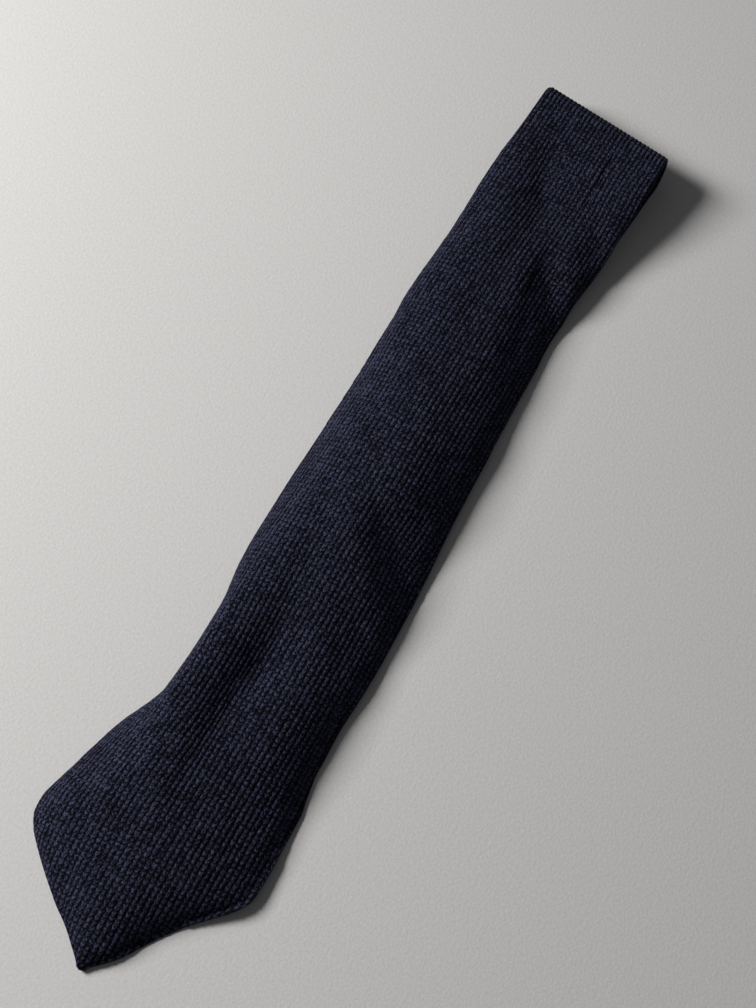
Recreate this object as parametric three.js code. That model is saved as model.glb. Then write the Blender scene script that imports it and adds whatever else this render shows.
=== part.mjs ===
// A knitted necktie with a pointed front blade, folded in four and laid face up.
//
// Millimetres. +Z is up, +Y runs from the point of the front blade to the top fold, and +X is to the right
// for someone who looks down on the face with the point nearest to them. The tie rests on z = 0.
//
// The tie is a flat tube of knitted cloth. The cloth is folded round at both side edges, and its long edges
// meet in a seam down the middle of the back. From the point, the tie runs along the top of the pile, turns
// over at the top fold, comes back as the bottom layer, turns up at the neck, goes back to the top fold
// inside the first turn, and comes back once more as the tail blade, right under the front blade.
import * as THREE from 'three'

// Driving sizes
const visibleLength = 373 // from the point of the front blade to the far side of the top fold
const bladeWidth = 80 // front blade, across its two corners
const foldWidth = 58 // front blade, where it turns over the top fold
const neckWidth = 30
const tailWidth = 32 // tail blade, across its two corners
const pointWidth = 3.6 // blunt end of both points
const clothWall = 1.3 // one ply of knitted cloth
const plyGap = 0.4 // between the front ply and the back ply
const seamGap = 0.4 // between the two edges that meet along the back
const clearance = 0.3 // between layers that lie on each other, and at the joins
const innerBend = 2.25 // inner radius of the tail's turn in the top fold
const neckBend = 0.7 // inner radius of the turn at the neck
const neckPlace = 64 // from the front point to the outside of the turn at the neck
const tailPlace = 88 // from the front point to the point of the tail
const foldSlant = 7.5 // degrees that the top fold leans from square
const joinSlant = 40 // degrees that the sewn joins lean from square
const bladeJoin = 0.52 // share of the way from the top fold to the neck
const tailJoin = 0.5 // share of the way from the neck to the top fold

// Heights and turns that follow from them
const layer = 2 * clothWall + plyGap
const halfLayer = layer / 2
const pitch = layer + clearance
const innerTurn = innerBend + halfLayer
const outerTurn = innerTurn + pitch
const neckTurn = neckBend + halfLayer
const stackLift = 3 * pitch
const foldLift = 2 * outerTurn
const spare = foldLift - stackLift
const foldLine = visibleLength - outerTurn - halfLayer
const neckLine = neckPlace + neckTurn + halfLayer
const foldLean = Math.tan(THREE.MathUtils.degToRad(foldSlant))
const joinLean = Math.tan(THREE.MathUtils.degToRad(joinSlant))

// The front run, a row for each section. at: share of the way from the point to the fold line. left and
// right: side edges, as shares of half the run's width there. crest: how far the middle is lifted towards
// the height of the three layers below it. spring: how far it is lifted above them towards the top of the
// fold. leftLift and rightLift: height of the side edges, as shares of the crest's. leftSlope and
// rightSlope: width of the slopes that come down to them, as shares of half the run's width.
const frontColumns = ['at', 'left', 'right', 'crest', 'spring', 'leftLift', 'rightLift', 'leftSlope', 'rightSlope']
const frontRows = [
  [0.000, -0.108, -0.013, 0.00, 0.00, 0.50, 0.50, 0.05, 0.05],
  [0.006, -0.155, 0.020, 0.04, 0.00, 0.40, 0.40, 0.08, 0.08],
  [0.015, -0.250, 0.097, 0.10, 0.00, 0.31, 0.31, 0.18, 0.25],
  [0.025, -0.365, 0.180, 0.18, 0.00, 0.23, 0.23, 0.29, 0.34],
  [0.040, -0.565, 0.268, 0.32, 0.00, 0.13, 0.12, 0.45, 0.41],
  [0.055, -0.755, 0.358, 0.46, 0.00, 0.07, 0.04, 0.57, 0.48],
  [0.070, -0.927, 0.464, 0.60, 0.00, 0.03, 0.14, 0.66, 0.55],
  [0.085, -1.072, 0.578, 0.74, 0.00, 0.01, 0.22, 0.70, 0.64],
  [0.100, -1.155, 0.716, 0.85, 0.00, 0.00, 0.27, 0.70, 0.76],
  [0.115, -1.172, 0.856, 0.95, 0.06, 0.00, 0.27, 0.68, 0.89],
  [0.130, -1.147, 0.938, 1.02, 0.16, 0.00, 0.23, 0.67, 0.99],
  [0.145, -1.113, 0.952, 1.04, 0.28, 0.00, 0.18, 0.67, 1.06],
  [0.175, -1.049, 0.962, 1.04, 0.56, 0.00, 0.11, 0.67, 1.10],
  [0.215, -0.949, 0.962, 1.00, 0.88, 0.01, 0.03, 0.51, 0.96],
  [0.240, -0.836, 0.930, 1.00, 1.00, 0.04, 0.02, 0.33, 0.80],
  [0.258, -0.772, 0.911, 1.00, 1.00, 0.07, 0.02, 0.22, 0.77],
  [0.300, -0.758, 0.912, 1.00, 1.00, 0.13, 0.06, 0.20, 0.85],
  [0.350, -0.767, 0.944, 1.00, 0.99, 0.14, 0.10, 0.24, 1.06],
  [0.400, -0.842, 0.957, 1.00, 0.99, 0.10, 0.02, 0.41, 1.10],
  [0.500, -0.896, 0.937, 1.00, 1.00, 0.04, 0.08, 0.59, 0.97],
  [0.600, -0.908, 0.914, 1.00, 0.99, 0.11, 0.10, 0.60, 0.87],
  [0.700, -0.908, 0.908, 1.00, 0.83, 0.35, 0.09, 0.58, 0.72],
  [0.735, -0.930, 0.912, 1.00, 0.83, 0.44, 0.10, 0.52, 0.60],
  [0.760, -0.920, 0.902, 1.00, 0.88, 0.45, 0.10, 0.50, 0.52],
  [0.820, -0.900, 0.972, 1.00, 1.00, 0.45, 0.14, 0.33, 0.46],
  [0.870, -0.900, 1.040, 1.00, 0.93, 0.62, 0.38, 0.18, 0.38],
  [0.920, -0.872, 1.085, 1.00, 0.86, 0.78, 0.68, 0.18, 0.30],
  [0.970, -0.812, 1.130, 1.00, 0.97, 0.95, 0.93, 0.18, 0.26],
  [1.000, -0.790, 1.150, 1.00, 1.00, 1.00, 1.00, 0.18, 0.25],
]

// Hollows pressed into the front run. at: share of the way to the fold line. across: place from the middle,
// as a share of half the fold's width. length, left and right: reach along the hollow and to its two sides,
// as shares of half the fold's width. turn: degrees that it leans from the run, clockwise from above. depth:
// a share of the spring of the fold.
const hollowColumns = ['at', 'across', 'length', 'left', 'right', 'turn', 'depth']
const hollowRows = [
  [0.753, 1.02, 1.15, 0.61, 0.17, -19, 1.40],
  [0.763, 0.55, 0.74, 0.12, 0.15, -13, 0.24],
  [0.812, 0.61, 0.54, 0.20, 0.18, -22, 0.63],
  [0.680, 0.41, 1.43, 0.56, 0.74, -12, 0.49],
  [0.555, 0.91, 1.64, 0.21, 0.40, -34, 0.11],
  [0.483, 0.41, 0.61, 0.14, 0.75, -34, 0.32],
  [0.437, 1.27, 0.85, 0.24, 0.75, -44, 1.78],
  [0.285, 0.08, 1.54, 0.25, 0.54, -6, 0.95],
  [0.258, -0.16, 0.92, 0.21, 0.17, -4, 0.58],
  [0.218, 1.42, 1.39, 0.74, 0.57, 12, 1.54],
  [0.125, 0.98, 0.75, 0.22, 0.31, 38, 0.21],
  [0.036, 0.37, 0.29, 0.09, 0.13, 25, 0.50],
  [0.893, 0.06, 0.54, 0.36, 0.75, 5, 0.60],
  [0.859, 0.96, 0.78, 0.31, 0.22, -8, 1.37],
]

// The lower runs, a row for each section. at: share of the way along the run. middle: place of the run's
// middle, as a share of half the fold's width. widen: how far its width has gone from the first to the
// second of its two named widths. rise: how much of the height of the turn that it meets is left.
const lowerColumns = ['at', 'middle', 'widen', 'rise']
const bottomRows = [
  [0.00, 0.180, 0.00, 0],
  [0.15, 0.130, 0.18, 0],
  [0.50, -0.110, 0.62, 0],
  [0.80, -0.200, 0.92, 0],
  [1.00, -0.210, 1.00, 0],
]
const secondRows = [
  [0.00, -0.210, 0.00, 1],
  [0.01, -0.210, 0.00, 1],
  [0.06, -0.210, 0.00, 0],
  [1.00, -0.170, 0.00, 0],
]
const thirdRows = [
  [0.00, -0.170, 0.00, 1],
  [0.02, -0.170, 0.01, 1],
  [0.14, -0.180, 0.12, 0],
  [1.00, -0.060, 1.00, 0],
]

// Facets: steps across the front ply, the back plies and the rolled edges, and along each turn and run
const frontSteps = 16
const hiddenSteps = 6
const rollSteps = 2
const turnSteps = 8
const neckTurnSteps = 6
const lowerSpacing = 28
const frontSpacing = 10

const mix = THREE.MathUtils.lerp
const halfFold = foldWidth / 2

// Smooth curve through one column of a table, with no overshoot between its rows
function readTable(columns, rows, name, at) {
  const column = columns.indexOf(name)
  const last = rows.length - 1
  const steepness = (i) => (rows[i + 1][column] - rows[i][column]) / (rows[i + 1][0] - rows[i][0])
  const tangent = (i) => {
    if (i === 0) return steepness(0)
    if (i === last) return steepness(last - 1)
    const before = steepness(i - 1)
    const after = steepness(i)
    return before * after > 0 ? (2 * before * after) / (before + after) : 0
  }
  const place = THREE.MathUtils.clamp(at, 0, 1)
  let i = 0
  while (i < last - 1 && place > rows[i + 1][0]) i += 1
  const span = rows[i + 1][0] - rows[i][0]
  const t = (place - rows[i][0]) / span
  const near = (1 + 2 * t) * (1 - t) * (1 - t)
  const bulge = span * t * (1 - t) * ((1 - t) * tangent(i) - t * tangent(i + 1))
  return near * rows[i][column] + (1 - near) * rows[i + 1][column] + bulge
}

const frontValue = (name, at) => readTable(frontColumns, frontRows, name, at)
const halfFront = (at) => mix(bladeWidth, foldWidth, at) / 2
const frontEdges = (at) => [halfFront(at) * frontValue('left', at), halfFront(at) * frontValue('right', at)]

// How far a slope has risen at a distance from its low edge: steepest at the edge, as hanging cloth is
const hang = (distance, width) => Math.sin(0.5 * Math.PI * THREE.MathUtils.clamp(distance / width, 0, 1))

function hollowDepth(x, y) {
  let depth = 0
  for (const row of hollowRows) {
    const value = (name) => row[hollowColumns.indexOf(name)]
    const turn = THREE.MathUtils.degToRad(value('turn'))
    const awayX = x - value('across') * halfFold
    const awayY = y - value('at') * foldLine
    const along = (awayY * Math.cos(turn) + awayX * Math.sin(turn)) / (value('length') * halfFold)
    const sideways = awayX * Math.cos(turn) - awayY * Math.sin(turn)
    const across = sideways / (value(sideways < 0 ? 'left' : 'right') * halfFold)
    depth += value('depth') * spare * Math.exp(-along * along - across * across)
  }
  return depth
}

// How far the middle of the front blade's thickness is lifted from where it would lie flat on the surface
function frontLift(at, x) {
  const [left, right] = frontEdges(at)
  const crest = frontValue('crest', at) * stackLift + frontValue('spring', at) * spare
  const leftRise = hang(x - left, frontValue('leftSlope', at) * halfFront(at))
  const rightRise = hang(right - x, frontValue('rightSlope', at) * halfFront(at))
  const fromLeft = mix(frontValue('leftLift', at), 1, leftRise)
  const fromRight = mix(frontValue('rightLift', at), 1, rightRise)
  const hollow = hollowDepth(x, at * foldLine) * Math.min(leftRise, rightRise)
  return Math.max(0, crest * fromLeft * fromRight - hollow)
}

// The legs of the tie's route. In each, place(t, x) is the middle of the thickness at a share t of the leg
// and a distance x across, and edges(t) are the two side edges there.
const foldMiddle = (frontEdges(1)[0] + frontEdges(1)[1]) / 2
const turnHeight = halfLayer + outerTurn
const foldOffset = (x) => -foldLean * (x - foldMiddle)
const foldLeanPower = 12 // keeps the lean of the top fold to the last part of the front run

const frontRun = {
  place(t, x) {
    return new THREE.Vector3(x, t * foldLine + foldOffset(x) * t ** foldLeanPower, halfLayer + frontLift(t, x))
  },
  edges: frontEdges,
}

function turnLeg(radius, from, sweep, line, height, lean, edges) {
  return {
    place(t, x) {
      const angle = from + sweep * t
      const y = line + lean * foldOffset(x) + radius * Math.sin(angle)
      return new THREE.Vector3(x, y, height + radius * Math.cos(angle))
    },
    edges: () => edges,
  }
}

// A lower run, from one line to another. lean gives how much of the top fold's lean it has at its two ends.
// The sewn join crosses it on a slant that fades out on both sides of it. point is true for the tail's end.
function lowerLeg({ rows, widths, from, to, base, rise, lean, join, point }) {
  const value = (name, t) => readTable(lowerColumns, rows, name, t)
  const middle = (t) => value('middle', t) * halfFold
  const halfWidth = (t) => {
    const full = mix(widths[0], widths[1], value('widen', t)) / 2
    return point ? Math.min(full, pointWidth / 2 + (1 - t) * Math.abs(to - from)) : full
  }
  return {
    length: Math.abs(to - from),
    place(t, x) {
      const slant = joinLean * (x - middle(t)) * Math.max(0, 1 - Math.abs(t - join) / joinFade)
      const y = mix(from, to, t) + mix(lean[0], lean[1], t) * foldOffset(x) + slant
      return new THREE.Vector3(x, y, base + rise * value('rise', t))
    },
    edges: (t) => [middle(t) - halfWidth(t), middle(t) + halfWidth(t)],
  }
}

const joinFade = 0.35 // share of a run over which the slant of a join fades out
const bottomRun = lowerLeg({
  rows: bottomRows,
  widths: [frontEdges(1)[1] - frontEdges(1)[0], neckWidth],
  from: foldLine,
  to: neckLine,
  base: halfLayer,
  rise: 0,
  lean: [1, 0],
  join: bladeJoin,
})
const secondRun = lowerLeg({
  rows: secondRows,
  widths: [neckWidth, neckWidth],
  from: neckLine,
  to: foldLine,
  base: halfLayer + pitch,
  rise: 2 * neckTurn - pitch,
  lean: [0, 1],
  join: tailJoin,
})
const thirdRun = lowerLeg({
  rows: thirdRows,
  widths: [neckWidth, tailWidth],
  from: foldLine,
  to: tailPlace,
  base: halfLayer + 2 * pitch,
  rise: 2 * innerTurn - pitch,
  lean: [1, 0],
  join: -1,
  point: true,
})
const outerFold = turnLeg(outerTurn, 0, Math.PI, foldLine, turnHeight, 1, frontEdges(1))
const neckFold = turnLeg(neckTurn, Math.PI, Math.PI, neckLine, halfLayer + neckTurn, 0, bottomRun.edges(1))
const innerFold = turnLeg(innerTurn, Math.PI, -Math.PI, foldLine, turnHeight, 1, secondRun.edges(1))

// Shares of a leg at which it has a section
const evenly = (from, to, steps) => Array.from({ length: steps + 1 }, (_, i) => mix(from, to, i / steps))

function throughRows(rows, length, spacing) {
  const shares = [0]
  for (let i = 1; i < rows.length; i += 1) {
    const steps = Math.ceil((rows[i][0] - rows[i - 1][0]) * length / spacing)
    shares.push(...evenly(rows[i - 1][0], rows[i][0], steps).slice(1))
  }
  return shares
}

const runShares = (leg, from, to) => evenly(from, to, Math.ceil((to - from) * leg.length / lowerSpacing))

// The cloth's section, as points that go round it from one edge of the back seam to the other. Each has its
// place x across, and how far it lies from there across and out of the middle of the thickness. half is half
// the thickness of the flat tube at the skin that is wanted: its outside or its inside.
function sectionRing(left, right, half, steps) {
  const innerLeft = left + halfLayer
  const innerRight = right - halfLayer
  const middle = (left + right) / 2
  const halfGap = Math.min(seamGap / 2, (innerRight - innerLeft) / 4)
  const flat = (from, to, out, count) => evenly(from, to, count).map((x) => ({ x, across: 0, out }))
  const roll = (x, from) => evenly(from, from - Math.PI, rollSteps * 2).slice(1, -1).map((angle) => ({
    x,
    across: half * Math.cos(angle),
    out: half * Math.sin(angle),
  }))
  const backSteps = Math.round(steps / 4)
  return [
    ...flat(middle - halfGap, innerLeft, -half, backSteps),
    ...roll(innerLeft, 1.5 * Math.PI),
    ...flat(innerLeft, innerRight, half, steps),
    ...roll(innerRight, 0.5 * Math.PI),
    ...flat(innerRight, middle + halfGap, -half, backSteps),
  ]
}

// A ring of the section set into the route, square to the cloth there
function placeRing(leg, t, ring) {
  const small = 0.001
  return ring.map(({ x, across, out }) => {
    const sideways = leg.place(t, x + small).sub(leg.place(t, x - small)).normalize()
    const onwards = leg.place(t + small, x).sub(leg.place(t - small, x)).normalize()
    const outwards = sideways.clone().cross(onwards).normalize()
    return leg.place(t, x).addScaledVector(sideways, across).addScaledVector(outwards, out)
  })
}

// One sewn piece of the tie: a sheet of cloth folded round into a flat tube along its stretches of the
// route. Each stretch is a leg and the shares at which it has sections.
function clothTube(stretches, steps) {
  const outside = []
  const inside = []
  stretches.forEach(({ leg, shares }, index) => {
    for (const t of index === 0 ? shares : shares.slice(1)) {
      const [left, right] = leg.edges(t)
      outside.push(placeRing(leg, t, sectionRing(left, right, halfLayer, steps)))
      inside.push(placeRing(leg, t, sectionRing(left, right, plyGap / 2, steps)))
    }
  })
  const round = outside[0].length
  const sections = outside.length
  const points = [...outside.flat(), ...inside.flat()]
  const outer = (i, j) => i * round + j
  const inner = (i, j) => (sections + i) * round + j
  const index = []
  const quad = (a, b, c, d) => index.push(a, b, c, a, c, d)
  for (let i = 0; i < sections - 1; i += 1) {
    for (let j = 0; j < round - 1; j += 1) {
      quad(outer(i, j), outer(i, j + 1), outer(i + 1, j + 1), outer(i + 1, j))
      quad(inner(i + 1, j), inner(i + 1, j + 1), inner(i, j + 1), inner(i, j))
    }
    quad(outer(i, 0), outer(i + 1, 0), inner(i + 1, 0), inner(i, 0))
    const end = round - 1
    quad(outer(i + 1, end), outer(i, end), inner(i, end), inner(i + 1, end))
  }
  for (let j = 0; j < round - 1; j += 1) {
    const end = sections - 1
    quad(outer(0, j + 1), outer(0, j), inner(0, j), inner(0, j + 1))
    quad(outer(end, j), outer(end, j + 1), inner(end, j + 1), inner(end, j))
  }
  const geometry = new THREE.BufferGeometry()
  geometry.setAttribute('position', new THREE.Float32BufferAttribute(points.flatMap((p) => p.toArray()), 3))
  geometry.setIndex(index)
  geometry.computeVertexNormals()
  return geometry
}

const knit = new THREE.MeshStandardMaterial({ color: 0x12131e, roughness: 0.95, metalness: 0 })

function namedPiece(name, stretches, steps) {
  const mesh = new THREE.Mesh(clothTube(stretches, steps), knit.clone())
  mesh.name = name
  return mesh
}

// Shares at which the second piece of a join starts, a clearance after the first
const afterJoin = (leg, join) => join + clearance / Math.cos(THREE.MathUtils.degToRad(joinSlant)) / leg.length

function makeFrontBlade() {
  return namedPiece('front_blade', [
    { leg: frontRun, shares: throughRows(frontRows, foldLine, frontSpacing) },
    { leg: outerFold, shares: evenly(0, 1, turnSteps) },
    { leg: bottomRun, shares: runShares(bottomRun, 0, bladeJoin) },
  ], frontSteps)
}

function makeNeckBand() {
  return namedPiece('neck_band', [
    { leg: bottomRun, shares: runShares(bottomRun, afterJoin(bottomRun, bladeJoin), 1) },
    { leg: neckFold, shares: evenly(0, 1, neckTurnSteps) },
    { leg: secondRun, shares: runShares(secondRun, 0, tailJoin) },
  ], hiddenSteps)
}

function makeTailBlade() {
  const cornerShare = 1 - (tailWidth - pointWidth) / 2 / thirdRun.length
  return namedPiece('tail_blade', [
    { leg: secondRun, shares: runShares(secondRun, afterJoin(secondRun, tailJoin), 1) },
    { leg: innerFold, shares: evenly(0, 1, turnSteps) },
    { leg: thirdRun, shares: [...runShares(thirdRun, 0, cornerShare), mix(cornerShare, 1, 0.5), 1] },
  ], hiddenSteps)
}

// The tie, with its origin on the surface, under the middle of its outline seen from above
const tie = new THREE.Group()
tie.add(makeFrontBlade(), makeNeckBand(), makeTailBlade())
const outline = new THREE.Box3().setFromObject(tie)
const middle = outline.getCenter(new THREE.Vector3())
tie.position.set(-middle.x, -middle.y, -outline.min.z)
tie.updateMatrixWorld(true)

export default tie
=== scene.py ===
# %% [markdown]
# # A knitted necktie, folded in four
#
# The tie is slim, navy, and knitted in wool. Fine ribs run along it from the pointed front blade to the top
# fold. It lies face up, with the rest of its length folded away underneath.
#
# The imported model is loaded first. It gives the place and the size of everything that follows.

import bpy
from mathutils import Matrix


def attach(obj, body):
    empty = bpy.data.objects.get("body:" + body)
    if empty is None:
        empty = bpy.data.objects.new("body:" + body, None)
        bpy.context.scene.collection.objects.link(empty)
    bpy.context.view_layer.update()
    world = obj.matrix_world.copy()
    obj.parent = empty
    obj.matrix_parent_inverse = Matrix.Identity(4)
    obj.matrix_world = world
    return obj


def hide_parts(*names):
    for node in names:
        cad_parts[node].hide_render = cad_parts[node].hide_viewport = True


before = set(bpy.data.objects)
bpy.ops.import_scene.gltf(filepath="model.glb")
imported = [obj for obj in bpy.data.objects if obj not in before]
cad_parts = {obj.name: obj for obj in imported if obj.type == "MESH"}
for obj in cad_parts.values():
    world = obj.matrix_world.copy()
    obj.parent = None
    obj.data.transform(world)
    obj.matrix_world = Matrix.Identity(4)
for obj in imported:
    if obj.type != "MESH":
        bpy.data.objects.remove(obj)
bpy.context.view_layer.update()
print("nodes:", sorted(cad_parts))

# %% Libraries and the size of a millimetre
import math

import bmesh
import bpy
import numpy as np

MM = 0.001

# %% [markdown]
# ## The sizes of the tie
#
# These are the sizes that the solids were built from, in millimetres, so each soft piece fills the same
# space as its solid. The tie has its own coordinates here: X across, Y from the point to the top fold, and
# Z up. The last line moves them to the frame's origin, under the middle of the outline.

# %% Sizes
BLADE_WIDTH = 80.0
FOLD_WIDTH = 58.0
NECK_WIDTH = 30.0
TAIL_WIDTH = 32.0
POINT_WIDTH = 3.6
PLY_GAP = 0.4
SEAM_GAP = 0.4
CLEARANCE = 0.3
LAYER = 3.0
HALF_LAYER = LAYER / 2
PITCH = LAYER + CLEARANCE
INNER_TURN = 3.75
OUTER_TURN = INNER_TURN + PITCH
NECK_TURN = 2.2
STACK_LIFT = 3 * PITCH
SPARE = 2 * OUTER_TURN - STACK_LIFT
FOLD_LINE = 364.45
NECK_LINE = 67.7
TAIL_PLACE = 88.0
FOLD_LEAN = math.tan(math.radians(7.5))
JOIN_LEAN = math.tan(math.radians(40.0))
BLADE_JOIN = 0.52
TAIL_JOIN = 0.5
HALF_FOLD = FOLD_WIDTH / 2
POINT_ROUND = 1.5
TO_ORIGIN = np.array([4.35, -188.20, 0.0])
print("the three layers lift the front blade by", STACK_LIFT, "mm")

# %% [markdown]
# ## The shape of the front run
#
# The first table has a row for each section of the front run, as the solid does. A second one lists the
# hollows that are pressed into it. A curve through each column gives the values between the rows. It never
# overshoots, so a straight edge stays straight.
#
# A third table lists finer creases and low ridges, which only the soft piece has. A crease presses the whole
# tube down as far as the layers below it allow, and the rest of it goes into the outer skin.

# %% Tables of the front run
FRONT_COLUMNS = ["at", "left", "right", "crest", "spring", "left_lift", "right_lift", "left_slope", "right_slope"]
FRONT_ROWS = np.array([
    [0.000, -0.108, -0.013, 0.00, 0.00, 0.50, 0.50, 0.05, 0.05],
    [0.006, -0.155, 0.020, 0.04, 0.00, 0.40, 0.40, 0.08, 0.08],
    [0.015, -0.250, 0.097, 0.10, 0.00, 0.31, 0.31, 0.18, 0.25],
    [0.025, -0.365, 0.180, 0.18, 0.00, 0.23, 0.23, 0.29, 0.34],
    [0.040, -0.565, 0.268, 0.32, 0.00, 0.13, 0.12, 0.45, 0.41],
    [0.055, -0.755, 0.358, 0.46, 0.00, 0.07, 0.04, 0.57, 0.48],
    [0.070, -0.927, 0.464, 0.60, 0.00, 0.03, 0.14, 0.66, 0.55],
    [0.085, -1.072, 0.578, 0.74, 0.00, 0.01, 0.22, 0.70, 0.64],
    [0.100, -1.155, 0.716, 0.85, 0.00, 0.00, 0.27, 0.70, 0.76],
    [0.115, -1.172, 0.856, 0.95, 0.06, 0.00, 0.27, 0.68, 0.89],
    [0.130, -1.147, 0.938, 1.02, 0.16, 0.00, 0.23, 0.67, 0.99],
    [0.145, -1.113, 0.952, 1.04, 0.28, 0.00, 0.18, 0.67, 1.06],
    [0.175, -1.049, 0.962, 1.04, 0.56, 0.00, 0.11, 0.67, 1.10],
    [0.215, -0.949, 0.962, 1.00, 0.88, 0.01, 0.03, 0.51, 0.96],
    [0.240, -0.836, 0.930, 1.00, 1.00, 0.04, 0.02, 0.33, 0.80],
    [0.258, -0.772, 0.911, 1.00, 1.00, 0.07, 0.02, 0.22, 0.77],
    [0.300, -0.758, 0.912, 1.00, 1.00, 0.13, 0.06, 0.20, 0.85],
    [0.350, -0.767, 0.944, 1.00, 0.99, 0.14, 0.10, 0.24, 1.06],
    [0.400, -0.842, 0.957, 1.00, 0.99, 0.10, 0.02, 0.41, 1.10],
    [0.500, -0.896, 0.937, 1.00, 1.00, 0.04, 0.08, 0.59, 0.97],
    [0.600, -0.908, 0.914, 1.00, 0.99, 0.11, 0.10, 0.60, 0.87],
    [0.700, -0.908, 0.908, 1.00, 0.83, 0.35, 0.09, 0.58, 0.72],
    [0.735, -0.930, 0.912, 1.00, 0.83, 0.44, 0.10, 0.52, 0.60],
    [0.760, -0.920, 0.902, 1.00, 0.88, 0.45, 0.10, 0.50, 0.52],
    [0.820, -0.900, 0.972, 1.00, 1.00, 0.45, 0.14, 0.33, 0.46],
    [0.870, -0.900, 1.040, 1.00, 0.93, 0.62, 0.38, 0.18, 0.38],
    [0.920, -0.872, 1.085, 1.00, 0.86, 0.78, 0.68, 0.18, 0.30],
    [0.970, -0.812, 1.130, 1.00, 0.97, 0.95, 0.93, 0.18, 0.26],
    [1.000, -0.790, 1.150, 1.00, 1.00, 1.00, 1.00, 0.18, 0.25],
])

# Each hollow: place along and across, its reach along, to the left and to the right, its lean in degrees,
# and its depth
HOLLOWS = [
    (0.753, 1.02, 1.15, 0.61, 0.17, -19, 1.40),
    (0.763, 0.55, 0.74, 0.12, 0.15, -13, 0.24),
    (0.812, 0.61, 0.54, 0.20, 0.18, -22, 0.63),
    (0.680, 0.41, 1.43, 0.56, 0.74, -12, 0.49),
    (0.555, 0.91, 1.64, 0.21, 0.40, -34, 0.11),
    (0.483, 0.41, 0.61, 0.14, 0.75, -34, 0.32),
    (0.437, 1.27, 0.85, 0.24, 0.75, -44, 1.78),
    (0.285, 0.08, 1.54, 0.25, 0.54, -6, 0.95),
    (0.258, -0.16, 0.92, 0.21, 0.17, -4, 0.58),
    (0.218, 1.42, 1.39, 0.74, 0.57, 12, 1.54),
    (0.125, 0.98, 0.75, 0.22, 0.31, 38, 0.21),
    (0.036, 0.37, 0.29, 0.09, 0.13, 25, 0.50),
    (0.893, 0.06, 0.54, 0.36, 0.75, 5, 0.60),
    (0.859, 0.96, 0.78, 0.31, 0.22, -8, 1.37),
]

# Finer creases, in millimetres: place across and along, reach along, to the left and to the right, lean in
# degrees, and depth. A negative depth is a ridge.
CREASES = [
    (21, 353, 45, 9.7, 10.6, 58, 1.73),
    (4, 329, 45, 13.9, 13.5, -3, 1.89),
    (-22, 311, 18, 2.3, 5.1, -6, 1.79),
    (21, 308, 17, 5.0, 5.6, 8, 0.79),
    (7, 306, 33, 3.9, 3.7, 2, -0.63),
    (28, 298, 16, 6.3, 13.1, -35, -1.40),
    (27, 277, 32, 4.1, 1.8, -4, 0.51),
    (-23, 247, 45, 4.8, 4.2, -6, -0.93),
    (13, 247, 42, 14.0, 12.4, -12, -1.31),
    (15, 236, 24, 8.3, 7.4, 41, 0.72),
    (1, 222, 38, 13.4, 13.5, -21, -1.04),
    (-20, 220, 38, 13.3, 7.6, -5, 1.60),
    (29, 215, 12, 7.7, 10.7, 17, 0.86),
    (1, 172, 45, 10.2, 14.0, -9, -0.94),
    (16, 158, 30, 13.6, 8.2, -37, -1.16),
    (21, 141, 15, 12.0, 5.6, -37, 1.04),
    (-15, 126, 41, 3.6, 5.3, 9, -0.51),
    (-1, 116, 22, 7.5, 8.2, 17, 1.38),
    (-15, 113, 40, 14.0, 12.9, 62, -0.46),
    (-18, 99, 31, 2.2, 4.6, -13, -0.33),
    (-18, 92, 44, 8.7, 11.9, -9, -0.35),
    (37, 91, 44, 6.9, 4.4, -2, 1.84),
    (-16, 88, 45, 11.7, 12.9, -15, -0.17),
    (-23, 53, 6, 3.4, 2.6, -29, -1.14),
    (-1, 51, 39, 12.8, 12.2, -19, -0.48),
    (9, 40, 45, 13.2, 10.8, 34, -0.52),
    (20, 29, 20, 7.2, 14.0, 38, 2.00),
    (20, 28, 19, 1.9, 6.8, 40, 1.96),
    (-20, 23, 23, 4.3, 4.2, -12, 1.11),
    (-9, 20, 40, 9.9, 8.0, -46, -0.81),
]
SKIN_SPARE = 0.8
CREASE_FADE_LEFT, CREASE_FADE_RIGHT, CREASE_FADE_FOLD = 5, 4, 0.05


# %% A smooth curve through one column of a table
def read_column(rows, column, at):
    places, values = rows[:, 0], rows[:, column]
    steepness = np.diff(values) / np.diff(places)
    before, after = steepness[:-1], steepness[1:]
    total = np.where(before + after == 0, 1, before + after)
    inner = np.where(before * after > 0, 2 * before * after / total, 0)
    tangents = np.concatenate([steepness[:1], inner, steepness[-1:]])
    at = np.clip(at, 0, 1)
    i = np.clip(np.searchsorted(places, at, side="right") - 1, 0, len(places) - 2)
    span = places[i + 1] - places[i]
    t = (at - places[i]) / span
    near = (1 + 2 * t) * (1 - t) ** 2
    bulge = span * t * (1 - t) * ((1 - t) * tangents[i] - t * tangents[i + 1])
    return near * values[i] + (1 - near) * values[i + 1] + bulge


def front(name, at):
    return read_column(FRONT_ROWS, FRONT_COLUMNS.index(name), at)


def half_front(at):
    return (BLADE_WIDTH + (FOLD_WIDTH - BLADE_WIDTH) * at) / 2


def front_edges(at):
    return half_front(at) * front("left", at), half_front(at) * front("right", at)


print("width at the two corners of the blade:", round(float(np.diff(front_edges(0.13))[0]), 1), "mm")


# %% How far the front run is lifted
def hang(distance, width):
    return np.sin(0.5 * math.pi * np.clip(distance / width, 0, 1))


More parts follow.
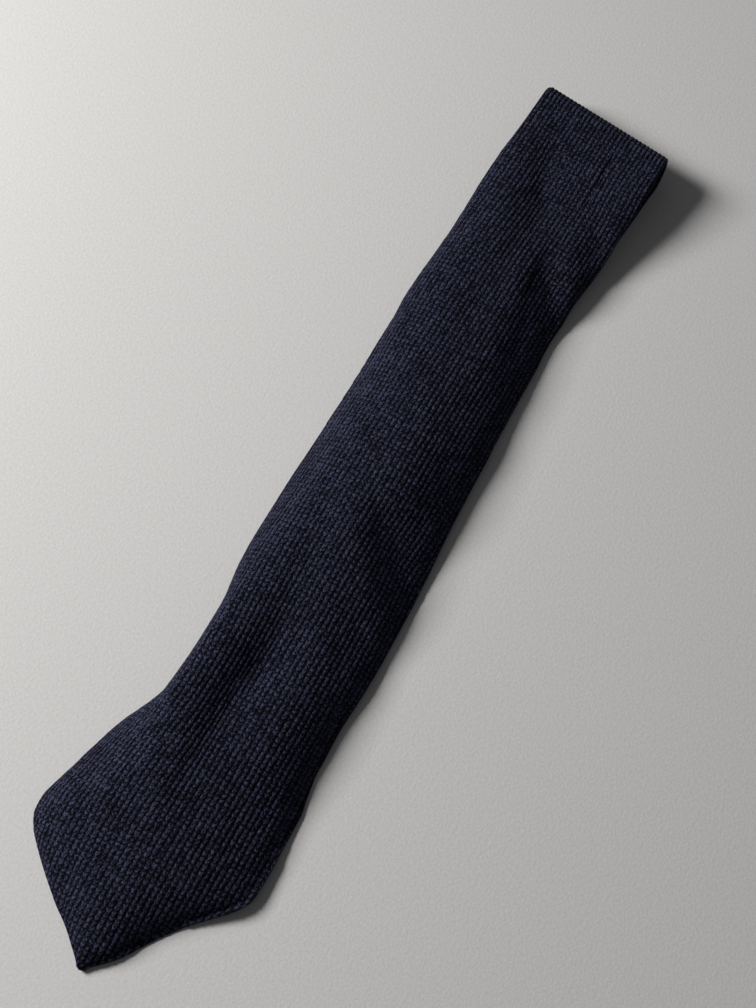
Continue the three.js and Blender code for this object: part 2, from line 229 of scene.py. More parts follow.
def hollow_depth(x, y):
    depth = 0
    for at, across, length, left, right, lean, deep in HOLLOWS:
        lean = math.radians(lean)
        away_x = x - across * HALF_FOLD
        away_y = y - at * FOLD_LINE
        along = (away_y * math.cos(lean) + away_x * math.sin(lean)) / (length * HALF_FOLD)
        sideways = (away_x * math.cos(lean) - away_y * math.sin(lean)) / HALF_FOLD
        sideways = sideways / np.where(sideways < 0, left, right)
        depth = depth + deep * SPARE * np.exp(-along ** 2 - sideways ** 2)
    return depth


def front_lift(at, x):
    left, right = front_edges(at)
    crest = front("crest", at) * STACK_LIFT + front("spring", at) * SPARE
    left_rise = hang(x - left, front("left_slope", at) * half_front(at))
    right_rise = hang(right - x, front("right_slope", at) * half_front(at))
    from_left = front("left_lift", at) * (1 - left_rise) + left_rise
    from_right = front("right_lift", at) * (1 - right_rise) + right_rise
    hollow = hollow_depth(x, at * FOLD_LINE) * np.minimum(left_rise, right_rise)
    return np.maximum(0, crest * from_left * from_right - hollow)


# %% The finer creases
def crease_depth(x, y):
    depth = 0
    for place_x, place_y, length, left, right, lean, deep in CREASES:
        lean = math.radians(lean)
        away_x, away_y = x - place_x, y - place_y
        along = (away_y * math.cos(lean) + away_x * math.sin(lean)) / length
        sideways = away_x * math.cos(lean) - away_y * math.sin(lean)
        sideways = sideways / np.where(sideways < 0, left, right)
        depth = depth + deep * np.exp(-along ** 2 - sideways ** 2)
    return depth


def creased_lift(at, x):
    """Lift of the front run with its creases, and how much deeper they still go in its outer skin."""
    left, right = front_edges(at)
    y = at * FOLD_LINE
    fade = np.minimum(hang(x - left, CREASE_FADE_LEFT), hang(right - x, CREASE_FADE_RIGHT))
    fade = fade * np.clip((1 - at) / CREASE_FADE_FOLD, 0, 1)
    deep = crease_depth(x, y) * fade
    smooth = front_lift(at, x)
    tail_rise = read_column(np.array(THIRD_ROWS), 3, (FOLD_LINE - y) / (FOLD_LINE - TAIL_PLACE))
    beside = np.clip((x - np.interp(y, [90, 180], [14.8, 11.8])) / 12, 0, 1)
    beside = beside * beside * (3 - 2 * beside)
    over_tail = STACK_LIFT + SPARE * tail_rise + 0.05
    pile = np.clip((y - 60) / 6, 0, 1) * (over_tail * (1 - beside) + (PITCH + 0.1) * beside)
    lift = np.maximum(smooth - deep, np.minimum(smooth, pile))
    return lift, np.clip(deep - (smooth - lift), 0, SKIN_SPARE)


# %% [markdown]
# ## The route of the cloth
#
# The tie is one long flat tube, and its route has seven legs: the front run, the turn at the top fold, the
# bottom layer, the turn at the neck, the second layer, the inner turn of the top fold, and the third layer,
# which ends in the tail's own point. Each leg says where the middle of the tube's thickness is, at a share
# t of the leg and a distance x across, and where its two side edges are.

# %% Legs of the route
FOLD_EDGES = tuple(float(edge) for edge in front_edges(1.0))
FOLD_MIDDLE = sum(FOLD_EDGES) / 2
TURN_HEIGHT = HALF_LAYER + OUTER_TURN


def fold_offset(x):
    return -FOLD_LEAN * (x - FOLD_MIDDLE)


class FrontRun:
    length = FOLD_LINE

    def place(self, t, x):
        y = t * FOLD_LINE + fold_offset(x) * np.clip(t, 0, None) ** 12
        left, right = front_edges(t)
        across = np.clip((2 * x - left - right) / (right - left), -1, 1)
        y = y + POINT_ROUND * across ** 2 * np.exp(-np.clip(t, 0, 1) * FOLD_LINE / POINT_ROUND)
        return np.stack([x + 0 * y, y, HALF_LAYER + creased_lift(t, x)[0]], axis=-1)

    def edges(self, t):
        return front_edges(t)


class Turn:
    def __init__(self, radius, start, sweep, line, height, lean, edges):
        self.radius, self.start, self.sweep = radius, start, sweep
        self.line, self.height, self.lean, self.fixed = line, height, lean, edges
        self.length = math.pi * radius

    def place(self, t, x):
        angle = self.start + self.sweep * t
        y = self.line + self.lean * fold_offset(x) + self.radius * np.sin(angle)
        return np.stack([x + 0 * y, y, self.height + self.radius * np.cos(angle) + 0 * y], axis=-1)

    def edges(self, t):
        return self.fixed


class LowerRun:
    def __init__(self, rows, widths, start, end, base, rise, lean, join, point=False):
        self.rows, self.widths, self.start, self.end = np.array(rows), widths, start, end
        self.base, self.rise, self.lean, self.join, self.point = base, rise, lean, join, point
        self.length = abs(end - start)

    def middle(self, t):
        return read_column(self.rows, 1, t) * HALF_FOLD

    def place(self, t, x):
        fade = np.maximum(0, 1 - np.abs(t - self.join) / 0.35)
        slant = JOIN_LEAN * (x - self.middle(t)) * fade
        lean = self.lean[0] + (self.lean[1] - self.lean[0]) * t
        y = self.start + (self.end - self.start) * t + lean * fold_offset(x) + slant
        return np.stack([x + 0 * y, y, self.base + self.rise * read_column(self.rows, 3, t) + 0 * y], axis=-1)

    def edges(self, t):
        widen = read_column(self.rows, 2, t)
        half = (self.widths[0] + (self.widths[1] - self.widths[0]) * widen) / 2
        if self.point:
            half = np.minimum(half, POINT_WIDTH / 2 + (1 - t) * self.length)
        return self.middle(t) - half, self.middle(t) + half


# %% The seven legs
BOTTOM_ROWS = [(0, 0.18, 0, 0), (0.15, 0.13, 0.18, 0), (0.5, -0.11, 0.62, 0), (0.8, -0.2, 0.92, 0), (1, -0.21, 1, 0)]
SECOND_ROWS = [(0, -0.21, 0, 1), (0.01, -0.21, 0, 1), (0.06, -0.21, 0, 0), (1, -0.17, 0, 0)]
THIRD_ROWS = [(0, -0.17, 0, 1), (0.02, -0.17, 0.01, 1), (0.14, -0.18, 0.12, 0), (1, -0.06, 1, 0)]

front_run = FrontRun()
bottom_run = LowerRun(BOTTOM_ROWS, (FOLD_EDGES[1] - FOLD_EDGES[0], NECK_WIDTH), FOLD_LINE, NECK_LINE,
                      HALF_LAYER, 0, (1, 0), BLADE_JOIN)
second_run = LowerRun(SECOND_ROWS, (NECK_WIDTH, NECK_WIDTH), NECK_LINE, FOLD_LINE,
                      HALF_LAYER + PITCH, 2 * NECK_TURN - PITCH, (0, 1), TAIL_JOIN)
third_run = LowerRun(THIRD_ROWS, (NECK_WIDTH, TAIL_WIDTH), FOLD_LINE, TAIL_PLACE,
                     HALF_LAYER + 2 * PITCH, 2 * INNER_TURN - PITCH, (1, 0), -1, point=True)
outer_fold = Turn(OUTER_TURN, 0, math.pi, FOLD_LINE, TURN_HEIGHT, 1, FOLD_EDGES)
neck_fold = Turn(NECK_TURN, math.pi, math.pi, NECK_LINE, HALF_LAYER + NECK_TURN, 0, bottom_run.edges(1.0))
inner_fold = Turn(INNER_TURN, math.pi, -math.pi, FOLD_LINE, TURN_HEIGHT, 1, second_run.edges(1.0))
legs = [front_run, outer_fold, bottom_run, neck_fold, second_run, inner_fold, third_run]
print("length of the tie along its middle:", round(sum(leg.length for leg in legs)), "mm")

# %% [markdown]
# ## The ribs
#
# A rib of the knit is one column of stitches. It is a round cord about 2 mm wide, and it meets its
# neighbour in a sharp dark valley. The ribs run along the tie. They lie closer together at the fold than
# in the blade, and they spread towards the two corners of the blade. At a side edge they go round to the
# back with the cloth. So a rib is counted from the middle one, and its place is found by measuring round
# the section from there. The mesh has a column of points along every rib, so each rib is a real ridge.

# %% How far the ribs are apart, and where the middle one runs
# at along the front run, spacing on the left, spacing on the right, place of the middle rib
RIB_ROWS = np.array([
    [0.000, 2.07, 2.07, 0.0],
    [0.125, 2.07, 2.07, 0.0],
    [0.258, 1.82, 2.00, 0.0],
    [0.500, 1.94, 1.96, 0.0],
    [0.720, 1.92, 1.90, 0.0],
    [1.000, 1.80, 1.80, 3.0],
])
RIB_DEPTH = 0.32
CORNER = 0.122
COLUMNS_PER_RIB = 5


def rib_height(number):
    """How deep the surface lies below the crest of its rib, as a share of the rib's depth."""
    return 1 - np.abs(np.sin(math.pi * number)) ** 0.7


def face_arc(leg, t, centre):
    """Distance round the face from the middle rib, at close steps across the tie."""
    left, right = leg.edges(t)
    x = np.linspace(left + HALF_LAYER, right - HALF_LAYER, 301)
    points = leg.place(np.full_like(x, t), x)
    arc = np.concatenate([[0], np.cumsum(np.hypot(np.diff(points[:, 0]), np.diff(points[:, 2])))])
    return x, arc - np.interp(centre, x, arc)


# %% [markdown]
# ## One section of the cloth tube
#
# The cloth is folded round at both side edges, and its two long edges meet along the middle of the back. A
# section goes round that flat tube on its outer skin and comes back on its inner skin. A distance s round
# the outer skin is negative on the left of the middle rib. It runs over the face, round the rolled edge,
# and back towards the seam.
#
# In the pointed end, the columns of the mesh draw together towards the point, and the ribs don't: the
# pointed edges cut across them, as on the real blade. So there the mesh is finer.
#
# The front blade is pressed thin along its side edges, and that fades out towards the top fold.

# %% Points of one section
ROLL = math.pi * HALF_LAYER
BACK_COLUMNS = 6
THIN_EDGE = 7.0
EDGE_SHARE = 0.5
THIN_FADE = 0.15
INNER_FACE = 26


def around(s, left, right, x, arc):
    """Place across, offset across and offset out for distances s round the outer skin."""
    past_left = -s + arc[0]
    past_right = s - arc[-1]
    past = np.maximum(past_left, past_right)
    side = np.where(past_left > past_right, -1, 1)
    turn = np.where(side < 0, left + HALF_LAYER, right - HALF_LAYER)
    angle = np.clip(past / HALF_LAYER, 0, math.pi)
    place = np.where(past <= 0, np.interp(s, arc, x), turn - side * np.maximum(0, past - ROLL))
    return place, side * np.sin(angle), np.cos(angle)


def thickness(leg, t, place, left, right):
    """Thickness as a share of the full one: the front blade is pressed thin along its side edges."""
    if leg is not front_run:
        return np.ones_like(place)
    share = 1 - (1 - EDGE_SHARE) * np.clip((1 - t) / THIN_FADE, 0, 1)
    inwards = np.clip((np.minimum(place - left, right - place) - HALF_LAYER) / THIN_EDGE, 0, 1)
    return share + (1 - share) * np.sin(0.5 * math.pi * inwards)


def seam_distances(left, right, arc):
    half_gap = min(SEAM_GAP / 2, (right - left - LAYER) / 4)
    back = (right - left - LAYER) / 2 - half_gap
    return arc[0] - ROLL - back, arc[-1] + ROLL + back, half_gap, back


def drawn_together(s, arc, back, corner):
    """Distances at the corner row, moved in proportion towards the point."""
    corner_arc, corner_back = corner
    edge = np.where(s < 0, -arc[0], arc[-1])
    corner_edge = np.where(s < 0, -corner_arc[0], corner_arc[-1])
    size = np.abs(s)
    on_back = edge + ROLL + (size - corner_edge - ROLL) * back / corner_back
    moved = np.where(size <= corner_edge, size * edge / corner_edge, edge + size - corner_edge)
    return np.sign(s) * np.where(size > corner_edge + ROLL, on_back, moved)


def section(leg, t, ribs, spacing, centre, corner=None):
    left, right = (float(edge) for edge in leg.edges(t))
    x, arc = face_arc(leg, t, centre)
    seam_left, seam_right, half_gap, back = seam_distances(left, right, arc)
    s = ribs * np.where(ribs < 0, spacing[0], spacing[1])
    if corner is not None:
        s = drawn_together(s, arc, back, corner)
    number = s / np.where(s < 0, spacing[0], spacing[1])
    fade = np.clip((np.minimum(ribs - ribs[0], ribs[-1] - ribs)) / 2, 0, 1)
    first = np.linspace(seam_left, s[0], BACK_COLUMNS + 1)[:-1]
    last = np.linspace(s[-1], seam_right, BACK_COLUMNS + 1)[1:]
    outer = np.concatenate([first, s, last])
    numbers = np.concatenate([first / spacing[0], number, last / spacing[1]])
    share = np.concatenate([0 * first, fade, 0 * last])
    place, across, out = around(outer, left, right, x, arc)
    thin = thickness(leg, t, place, left, right)
    depth = RIB_DEPTH * share * rib_height(numbers)
    radius = (HALF_LAYER - depth) * thin
    wider = (1 - thin) * HALF_LAYER * across

    # The inner skin, from the right edge of the seam round to its left edge
    inner_left, inner_right, seam = left + HALF_LAYER, right - HALF_LAYER, (left + right) / 2
    small = PLY_GAP / 2
    back_right = np.linspace(seam + half_gap, inner_right, BACK_COLUMNS)
    face = np.linspace(inner_right, inner_left, INNER_FACE)
    back_left = np.linspace(inner_left, seam - half_gap, BACK_COLUMNS)
    inner_place = np.concatenate([back_right, [inner_right], face, [inner_left], back_left])
    inner_across = np.concatenate([0 * back_right, [small], 0 * face, [-small], 0 * back_left])
    inner_out = np.concatenate([0 * back_right - small, [0], 0 * face + small, [0], 0 * back_left - small])
    inner_number = (inner_place - centre) / spacing[1]
    inner_thin = thickness(leg, t, inner_place, left, right)
    skin_out = out * radius - (1 - thin) * HALF_LAYER
    inner_out = inner_out - (1 - inner_thin) * HALF_LAYER
    skin_across = across * radius + wider
    ring = np.stack([
        np.concatenate([place, inner_place, place[:1]]),
        np.concatenate([skin_across, inner_across, skin_across[:1]]),
        np.concatenate([skin_out, inner_out, skin_out[:1]]),
        np.concatenate([numbers, inner_number, inner_number[-1:]]),
        np.concatenate([np.where(out > 0, share, 0), 0 * inner_place, [0]]),
    ])
    return ring, (arc, back)


# %% [markdown]
# ## From sections to a piece
#
# Blender's grid operator makes a flat sheet with a row of points for each section and a column for each
# place round it. Its points are then moved to the places worked out above. Each point is set square to
# the cloth, and its two pattern coordinates are kept as a UV map: which rib it is on, and which row of
# stitches. At the end, the first and the last column are welded and both ends are closed.

# %% The softness of the cloth
STITCH_LENGTH = 1.92
GRAIN = 0.05
draws = np.random.default_rng(7)


def unevenness(x, y):
    waves = np.sin(x / 4.3 + y / 11.0) + np.sin(x / 6.1 - y / 7.3 + 1.3) + np.sin(x / 9.7 + y / 4.9 + 4.1)
    broad = np.sin(x / 13.0 - y / 17.0 + 0.7) + np.sin(x / 11.0 + y / 23.0 + 2.9)
    return 0.09 * waves + 0.14 * broad


def placed(leg, t, ring):
    x, across, out = ring[0], ring[1], ring[2]
    small = 0.001
    sideways = leg.place(t, x + small) - leg.place(t, x - small)
    onwards = leg.place(t + small, x) - leg.place(t - small, x)
    outwards = np.cross(sideways, onwards)
    sideways /= np.linalg.norm(sideways, axis=-1, keepdims=True)
    outwards /= np.linalg.norm(outwards, axis=-1, keepdims=True)
    point = leg.place(t, x)
    lift = 0
    if leg is front_run:
        skin = unevenness(point[..., 0], point[..., 1]) - creased_lift(t, x)[1]
        lift = (skin + draws.normal(0, GRAIN, len(x))) * ring[4]
    return point + sideways * across[..., None] + outwards * (out + lift)[..., None]


# %% Turn a list of sections into a closed mesh
def grid_mesh(name, points, pattern):
    rows, columns = points.shape[:2]
    sheet = bmesh.new()
    bmesh.ops.create_grid(sheet, x_segments=columns - 1, y_segments=rows - 1, size=1.0)
    mesh = bpy.data.meshes.new(name)
    sheet.to_mesh(mesh)
    sheet.free()
    flat = np.empty(len(mesh.vertices) * 3)
    mesh.vertices.foreach_get("co", flat)
    flat = flat.reshape(-1, 3)
    column = np.rint((flat[:, 0] + 1) / 2 * (columns - 1)).astype(int)
    row = np.rint((flat[:, 1] + 1) / 2 * (rows - 1)).astype(int)
    moved = (points[row, column] + TO_ORIGIN) * MM
    mesh.vertices.foreach_set("co", moved.ravel())
    corners = np.empty(len(mesh.loops), dtype=int)
    mesh.loops.foreach_get("vertex_index", corners)
    uv = mesh.uv_layers.new(name="ribs_and_stitches")
    uv.data.foreach_set("uv", pattern[row, column][corners].ravel())
    return mesh


def close_tube(mesh):
    tube = bmesh.new()
    tube.from_mesh(mesh)
    edges = [edge for edge in tube.edges if edge.is_boundary]
    around_edges = [v for edge in edges for v in edge.verts]
    bmesh.ops.remove_doubles(tube, verts=list(set(around_edges)), dist=1e-7)
    ends = [edge for edge in tube.edges if edge.is_boundary]
    bmesh.ops.holes_fill(tube, edges=ends, sides=0)
    bmesh.ops.recalc_face_normals(tube, faces=tube.faces)
    for face in tube.faces:
        face.smooth = len(face.verts) == 4
    tube.to_mesh(mesh)
    open_edges = sum(edge.is_boundary for edge in tube.edges)
    tube.free()
    return open_edges


# The two legs with a pointed end: the share where its corners are, and on which side of that the point is
TAIL_CORNER = 1 - (TAIL_WIDTH - POINT_WIDTH) / 2 / third_run.length
CORNERS = {front_run: (CORNER, -1), third_run: (TAIL_CORNER, 1)}


def beyond_corner(leg, t):
    share, side = CORNERS.get(leg, (0, 0))
    return (t - share) * side > 0


def cloth_piece(name, stretches, ribs):
    """stretches: a leg, its shares t, and functions of t for the rib spacing and the middle rib's place."""
    points, pattern = [], []
    travelled = 0.0
    for leg, shares, spacing, centre in stretches:
        corner = None
        if leg in CORNERS:
            share, _ = CORNERS[leg]
            _, corner = section(leg, share, ribs, spacing(share), centre(share))
        for t in shares:
            drawn = corner if beyond_corner(leg, t) else None
            ring, _ = section(leg, t, ribs, spacing(t), centre(t), drawn)
            points.append(placed(leg, np.full_like(ring[0], t), ring))
            stitch = (travelled + (t - shares[0]) * leg.length) / STITCH_LENGTH
            pattern.append(np.stack([ring[3], np.full_like(ring[3], stitch)], axis=-1))
        travelled += (shares[-1] - shares[0]) * leg.length
    points, pattern = np.array(points), np.array(pattern)
    mesh = grid_mesh(name, points, pattern)
    open_edges = close_tube(mesh)
    piece = bpy.data.objects.new(name, mesh)
    bpy.context.scene.collection.objects.link(piece)
    triangles = sum(len(face.vertices) - 2 for face in mesh.polygons)
    print(name, "has", triangles, "triangles,", open_edges, "open edges,", round(travelled), "mm of cloth")
    return piece


# %% [markdown]
# ## The three sewn pieces
#
# The front blade shows all of its upper side, so it has rows of points close together, closest in the
# pointed end. It goes over the top fold and on into the bottom layer. The neck band and the tail blade lie
# under it. They are the same cloth, with fewer ribs, because they are narrower.

# %% Rows of points along the legs
def evenly(start, end, spacing, length):
    return np.linspace(start, end, int(math.ceil((end - start) * length / spacing)) + 1)


def joined(*parts):
    return np.concatenate([parts[0]] + [part[1:] for part in parts[1:]])


def after_join(leg, join):
    return join + CLEARANCE / math.cos(math.atan(JOIN_LEAN)) / leg.length


def ribs_between(left, right):
    return np.arange(-left * COLUMNS_PER_RIB, right * COLUMNS_PER_RIB + 1) / COLUMNS_PER_RIB


front_spacing = lambda t: (float(read_column(RIB_ROWS, 1, t)), float(read_column(RIB_ROWS, 2, t)))
front_centre = lambda t: float(read_column(RIB_ROWS, 3, t))
even_spacing = lambda t: (1.8, 1.8)
SIDESTEP = RIB_ROWS[-1, 3] - FOLD_MIDDLE

# %% The front blade
front_rows = joined(
    evenly(0, CORNER, 0.42, FOLD_LINE),
    evenly(CORNER, 1, STITCH_LENGTH, FOLD_LINE),
)
front_piece = cloth_piece("front_blade_knit", [
    (front_run, front_rows, front_spacing, front_centre),
    (outer_fold, np.linspace(0, 1, 17)[1:], even_spacing, lambda t: RIB_ROWS[-1, 3]),
    (bottom_run, evenly(0, BLADE_JOIN, 4, bottom_run.length)[1:], even_spacing,
     lambda t: float(bottom_run.middle(t)) + SIDESTEP * (1 - t)),
], ribs_between(24, 21))

# %% The neck band
neck_piece = cloth_piece("neck_band_knit", [
    (bottom_run, evenly(after_join(bottom_run, BLADE_JOIN), 1, 2, bottom_run.length), even_spacing,
     lambda t: float(bottom_run.middle(t)) + SIDESTEP * (1 - t)),
    (neck_fold, np.linspace(0, 1, 13)[1:], even_spacing, lambda t: float(bottom_run.middle(1.0))),
    (second_run, evenly(0, TAIL_JOIN, 2, second_run.length)[1:], even_spacing, lambda t: float(second_run.middle(t))),
], ribs_between(12, 12))

# %% The tail blade
third_rows = joined(
    evenly(0, TAIL_CORNER, 2, third_run.length),
    evenly(TAIL_CORNER, 1, 0.7, third_run.length),
)
tail_piece = cloth_piece("tail_blade_knit", [
    (second_run, evenly(after_join(second_run, TAIL_JOIN), 1, 2, second_run.length), even_spacing,
     lambda t: float(second_run.middle(t))),
    (inner_fold, np.linspace(0, 1, 13)[1:], even_spacing, lambda t: float(second_run.middle(1.0))),
    (third_run, third_rows[1:], even_spacing, lambda t: float(third_run.middle(t))),
], ribs_between(12, 12))

# %% [markdown]
# ## The knitted wool
#
# The ribs are real ridges, and the stitches on them are drawn by the material. Each stitch is a small V of
# two slanted strands. The pattern reads the UV map: across a rib from 0 to 1 and along it in stitches.
# The colour holds painted shade: it is darkened with the relief, so crests are lighter and the valleys between
# ribs and the gaps between strands are painted nearly black. The yarn's tone changes a little from stitch to
# stitch, and a fine noise gives the fuzz of the wool. A faint bluish sheen lights the fibres where the cloth
# turns away from the eye.

# %% Helpers for a node tree
def linked(tree, socket, value):
    if isinstance(value, (int, float)):
        socket.default_value = value
    else:
        tree.links.new(value, socket)


def calc(tree, operation, first, second=0.0, third=0.0):
    node = tree.nodes.new("ShaderNodeMath")
    node.operation = operation
    for socket, value in zip(node.inputs, (first, second, third)):
        linked(tree, socket, value)
    return node.outputs[0]


def colour_ramp(tree, factor, stops):
    node = tree.nodes.new("ShaderNodeValToRGB")
    tree.links.new(factor, node.inputs["Fac"])
    elements = node.color_ramp.elements
    while len(elements) < len(stops):
        elements.new(0.5)
    for element, (place, colour) in zip(elements, stops):
        element.position = place
        element.color = (*colour, 1)
    return node.outputs["Color"]


def noise(tree, coordinates, scale, detail, roughness=0.5):
    node = tree.nodes.new("ShaderNodeTexNoise")
    tree.links.new(coordinates, node.inputs["Vector"])
    node.inputs["Scale"].default_value = scale
    node.inputs["Detail"].default_value = detail
    node.inputs["Roughness"].default_value = roughness
    return node.outputs["Fac"]


def stretched(tree, value, low, high):
    node = tree.nodes.new("ShaderNodeMapRange")
    tree.links.new(value, node.inputs["Value"])
    node.inputs["From Min"].default_value = low
    node.inputs["From Max"].default_value = high
    return node.outputs["Result"]


# %% The navy knit
STRAND_LEAN = 1.1
STITCH_BUMP = 0.00045
RIB_SWAY = 0.5
STITCH_SWAY = 0.3


def knit_material(name):
    material = bpy.data.materials.new(name)
    material.use_nodes = True
    tree = material.node_tree
    shader = tree.nodes["Principled BSDF"]
    uv = tree.nodes.new("ShaderNodeUVMap")
    uv.uv_map = "ribs_and_stitches"
    split = tree.nodes.new("ShaderNodeSeparateXYZ")
    tree.links.new(uv.outputs["UV"], split.inputs[0])
    place = tree.nodes.new("ShaderNodeTexCoord").outputs["Object"]
    sway = noise(tree, place, 420, 2, 0.5)
    fuzz = stretched(tree, noise(tree, place, 1900, 3, 0.8), 0.38, 0.62)
    clumps = stretched(tree, noise(tree, place, 620, 2, 0.6), 0.36, 0.64)
    blotches = noise(tree, place, 55, 3, 0.6)

    rib = calc(tree, "MULTIPLY_ADD", calc(tree, "SUBTRACT", sway, 0.5), RIB_SWAY, split.outputs[0])
    across = calc(tree, "FRACT", rib)
    which_rib = calc(tree, "FLOOR", rib)
    cord = calc(tree, "POWER", calc(tree, "SINE", calc(tree, "MULTIPLY", across, math.pi)), 0.6)
    from_middle = calc(tree, "ABSOLUTE", calc(tree, "SUBTRACT", across, 0.42))
    shifted = calc(tree, "MULTIPLY_ADD", from_middle, -STRAND_LEAN, split.outputs[1])
    shifted = calc(tree, "MULTIPLY_ADD", clumps, STITCH_SWAY, shifted)
    wave = calc(tree, "COSINE", calc(tree, "MULTIPLY", shifted, 2 * math.pi))
    strand = calc(tree, "POWER", calc(tree, "MULTIPLY_ADD", wave, 0.5, 0.5), 0.7)
    # The relief is the height of the cords and strands: it drives the bump, and it also paints shade into the colour
    relief_and_painted_shade = calc(tree, "MULTIPLY", cord, calc(tree, "MULTIPLY_ADD", strand, 0.65, 0.35))

    cell = tree.nodes.new("ShaderNodeCombineXYZ")
    tree.links.new(which_rib, cell.inputs[0])
    tree.links.new(calc(tree, "FLOOR", calc(tree, "ADD", shifted, 0.5)), cell.inputs[1])
    stitch_shade = tree.nodes.new("ShaderNodeTexWhiteNoise")
    tree.links.new(cell.outputs[0], stitch_shade.inputs["Vector"])

    # Painted shade: the colour follows the relief, so valleys between ribs and gaps between strands are painted
    # nearly black
    shade = calc(tree, "MULTIPLY", relief_and_painted_shade, calc(tree, "MULTIPLY_ADD", stitch_shade.outputs["Value"], 0.5, 0.75))
    shade = calc(tree, "MULTIPLY", shade, calc(tree, "MULTIPLY_ADD", fuzz, 2.2, -0.05))
    shade = calc(tree, "MULTIPLY", shade, calc(tree, "MULTIPLY_ADD", clumps, 0.3, 0.85))
    shade = calc(tree, "MULTIPLY", shade, calc(tree, "MULTIPLY_ADD", blotches, 0.3, 0.85))
    # The dark end of this ramp is the painted shade of the valleys and gaps; the rest is the navy yarn's own tone
    colour = colour_ramp(tree, shade, [
        (0.0, (0.0001, 0.0001, 0.0008)),
        (0.24, (0.0010, 0.0011, 0.0038)),
        (0.55, (0.0112, 0.0124, 0.0262)),
        (1.0, (0.064, 0.069, 0.128)),
    ])
    tree.links.new(colour, shader.inputs["Base Color"])

    height = calc(tree, "MULTIPLY_ADD", fuzz, 0.55, relief_and_painted_shade)
    height = calc(tree, "MULTIPLY_ADD", clumps, 0.15, height)
    bump = tree.nodes.new("ShaderNodeBump")
    bump.inputs["Strength"].default_value = 1.0
    bump.inputs["Distance"].default_value = STITCH_BUMP
    tree.links.new(height, bump.inputs["Height"])
    tree.links.new(bump.outputs["Normal"], shader.inputs["Normal"])

    shader.inputs["Roughness"].default_value = 0.85
    shader.inputs["Specular IOR Level"].default_value = 0.08
    shader.inputs["Sheen Weight"].default_value = 0.02
    shader.inputs["Sheen Roughness"].default_value = 0.45
    shader.inputs["Sheen Tint"].default_value = (0.45, 0.52, 0.85, 1)
    return material


navy_knit = knit_material("navy_knit")
for piece, node in ((front_piece, "front_blade"), (neck_piece, "neck_band"), (tail_piece, "tail_blade")):
    piece.data.materials.append(navy_knit)
    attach(piece, "root")
    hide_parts(node)
print("the three pieces wear", navy_knit.name)

# %% [markdown]
# ## Flat sizes
#
# For each piece, the sheet of cloth that it was cut from, before its sides were folded to the back, is worked
# out and printed. A flat tube takes cloth twice its own width.

def flat_cut(stretches):
    """Width of the cut at its widest, its length, and its area, in metres."""
    widest, length, area = 0.0, 0.0, 0.0
    for leg, start, end in stretches:
        t = np.linspace(start, end, 200)
        edges = [leg.edges(share) for share in t]
        widths = np.array([2 * (float(right) - float(left)) for left, right in edges])
        stretch = (end - start) * leg.length
        widest = max(widest, widths.max())
        length += stretch
        area += widths.mean() * stretch
    return widest * MM, length * MM, area * MM * MM


for piece, stretches, under in (
    (front_piece, [(front_run, 0, 1), (outer_fold, 0, 1), (bottom_run, 0, BLADE_JOIN)], [tail_piece, "floor"]),
    (neck_piece, [(bottom_run, BLADE_JOIN, 1), (neck_fold, 0, 1), (second_run, 0, TAIL_JOIN)], ["floor"]),
    (tail_piece, [(second_run, TAIL_JOIN, 1), (inner_fold, 0, 1), (third_run, 0, 1)], [neck_piece, front_piece]),
):
    width, length, area = flat_cut(stretches)
    print(piece.name, "was cut from", round(width, 3), "by", round(length, 3), "m, area", round(area, 4))

# %% [markdown]
# ## The surface, the light and the camera
#
# The tie lies on a plain pale surface. One soft lamp stands to the left, about 35 degrees above the surface
# and a metre away. So low a light shades the creases, and the right edge throws a soft shadow. The camera
# looks down at 70 degrees.

# %% The pale surface
surface = bmesh.new()
bmesh.ops.create_grid(surface, x_segments=1, y_segments=1, size=3.0)
floor_mesh = bpy.data.meshes.new("floor")
surface.to_mesh(floor_mesh)
surface.free()
floor = bpy.data.objects.new("floor", floor_mesh)
bpy.context.scene.collection.objects.link(floor)

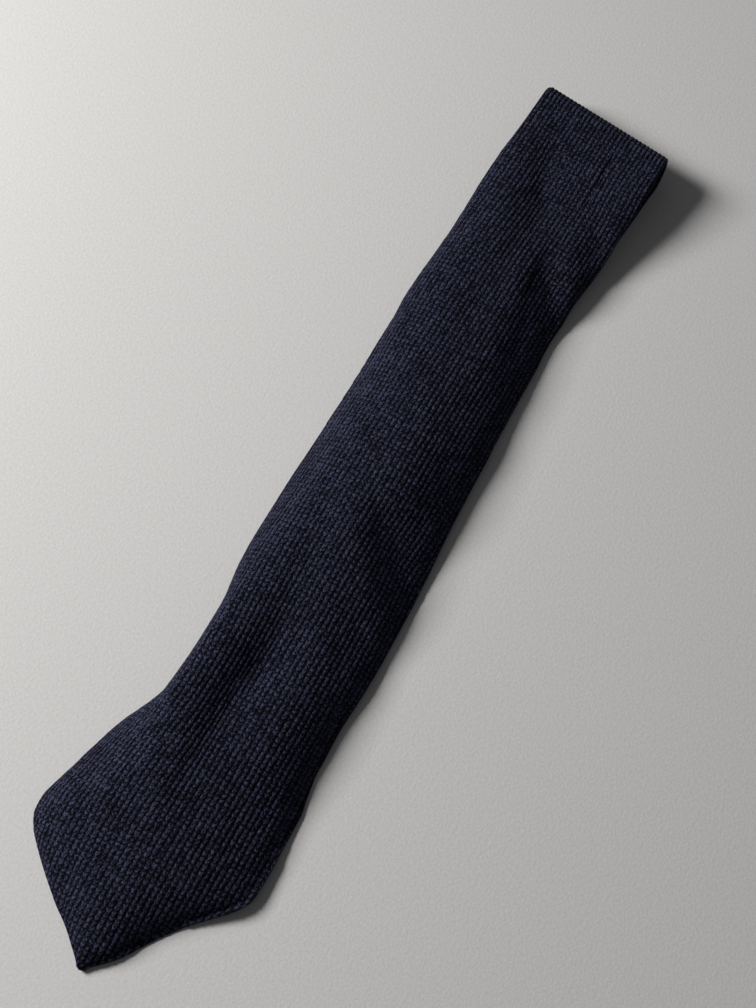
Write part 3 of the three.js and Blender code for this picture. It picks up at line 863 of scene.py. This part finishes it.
pale = bpy.data.materials.new("pale_surface")
pale.use_nodes = True
pale_tree = pale.node_tree
pale_shader = pale_tree.nodes["Principled BSDF"]
floor_place = pale_tree.nodes.new("ShaderNodeTexCoord").outputs["Object"]
grain = noise(pale_tree, floor_place, 900, 4, 0.7)
pale_tree.links.new(
    colour_ramp(pale_tree, grain, [(0.3, (0.55, 0.54, 0.53)), (0.7, (0.63, 0.62, 0.61))]),
    pale_shader.inputs["Base Color"],
)
pale_bump = pale_tree.nodes.new("ShaderNodeBump")
pale_bump.inputs["Strength"].default_value = 0.4
pale_bump.inputs["Distance"].default_value = 0.0003
pale_tree.links.new(grain, pale_bump.inputs["Height"])
pale_tree.links.new(pale_bump.outputs["Normal"], pale_shader.inputs["Normal"])
pale_shader.inputs["Roughness"].default_value = 0.95
floor.data.materials.append(pale)
print("the surface is", round(floor.dimensions.x, 1), "m wide")

# %% Light
def soft_lamp(name, place, size, power, colour):
    lamp = bpy.data.lights.new(name, "AREA")
    lamp.size = size
    lamp.energy = power
    lamp.color = colour
    thing = bpy.data.objects.new(name, lamp)
    thing.location = place
    direction = thing.location.copy()
    thing.rotation_euler = direction.to_track_quat("Z", "Y").to_euler()
    bpy.context.scene.collection.objects.link(thing)
    return thing


soft_lamp("window", (-0.90, -0.12, 0.62), 0.42, 17.5, (1.0, 0.992, 0.98))
world = bpy.data.worlds.new("room")
bpy.context.scene.world = world
world.use_nodes = True
world.node_tree.nodes["Background"].inputs["Color"].default_value = (0.93, 0.95, 1.0, 1)
world.node_tree.nodes["Background"].inputs["Strength"].default_value = 0.09
bpy.context.scene.view_settings.view_transform = "Standard"

# %% Camera
ELEVATION, AZIMUTH = math.radians(70), math.radians(29.5)
LOOK_AT = np.array([0.0069, 0.0031, 0.0])
DISTANCE = 0.5573
back = np.array([
    math.sin(AZIMUTH) * math.cos(ELEVATION),
    -math.cos(AZIMUTH) * math.cos(ELEVATION),
    math.sin(ELEVATION),
])
lens = bpy.data.cameras.new("camera")
lens.sensor_width = 36
lens.lens = 54.14
lens.clip_start = 0.01
camera = bpy.data.objects.new("camera", lens)
camera.location = LOOK_AT + DISTANCE * back
camera.rotation_euler = (math.pi / 2 - ELEVATION, 0, AZIMUTH)
bpy.context.scene.collection.objects.link(camera)
bpy.context.scene.camera = camera
print("camera is", round(float(camera.location.z), 3), "m above the surface")
